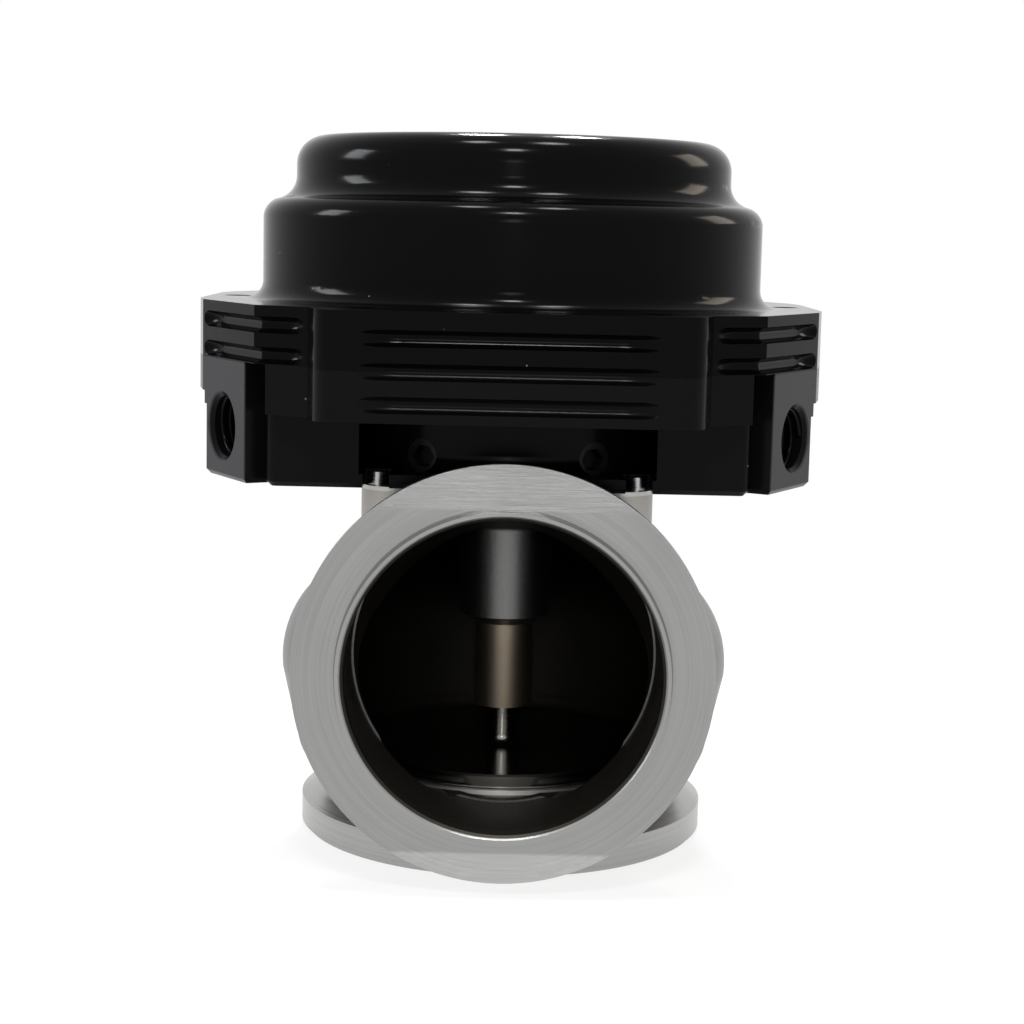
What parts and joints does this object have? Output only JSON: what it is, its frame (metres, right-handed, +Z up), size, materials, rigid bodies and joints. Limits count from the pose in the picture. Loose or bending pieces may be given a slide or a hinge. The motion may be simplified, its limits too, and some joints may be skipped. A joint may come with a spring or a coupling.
{
  "type": "turbo wastegate",
  "caption": "Water-cooled V-band turbo wastegate: steel exhaust body with side outlet, poppet valve, and a black sprung diaphragm actuator on top.",
  "frame": {"origin": "centre of the inlet face, on the valve axis", "axes": "+Z up the valve axis towards the actuator, -Y out of the outlet, +X to the right seen from the outlet"},
  "size_m": [0.0926, 0.0892, 0.1068],
  "materials": {
    "stainless_body": "turned and cast, satin",
    "stainless_seat": "turned",
    "valve_steel": "turned",
    "guide_bronze": "sintered, dull",
    "gasket_steel": "plain sheet",
    "screw_steel": "satin",
    "black_screw": "black oxide",
    "black_housing": "black anodised, machined",
    "black_cover": "black anodised, gloss turned",
    "seal_rubber": "matt",
    "plain_aluminium": "turned",
    "spring_steel": "oiled"
  },
  "bodies": {
    "housing": {"valve_body": "stainless_body", "valve_seat": "stainless_seat", "valve_guide": "guide_bronze", "housing_gasket": "gasket_steel", "locating_dowels": "screw_steel", "lower_housing": "black_housing", "body_screws": "screw_steel", "coolant_plugs": "black_screw", "stem_bush": "guide_bronze", "stem_ring": "seal_rubber", "ring_carrier": "guide_bronze", "ring_retainer": "screw_steel", "diaphragm": "seal_rubber", "spring_outer": "spring_steel", "spring_inner": "spring_steel", "cover": "black_cover", "cover_screws": "black_screw"},
    "valve_train": {"valve": "valve_steel", "lower_plate": "plain_aluminium", "spring_cup": "plain_aluminium", "stem_washer": "screw_steel", "stem_nut": "screw_steel"}
  },
  "joints": [
    {"name": "valve_lift", "type": "slide", "parent": "housing", "child": "valve_train", "axis": [0, 0, 1], "range_m": [0, 0.006], "stiffness_N_per_m": 8000, "springref_m": -0.012, "deforming": ["spring_outer", "spring_inner", "diaphragm"]}
  ]
}
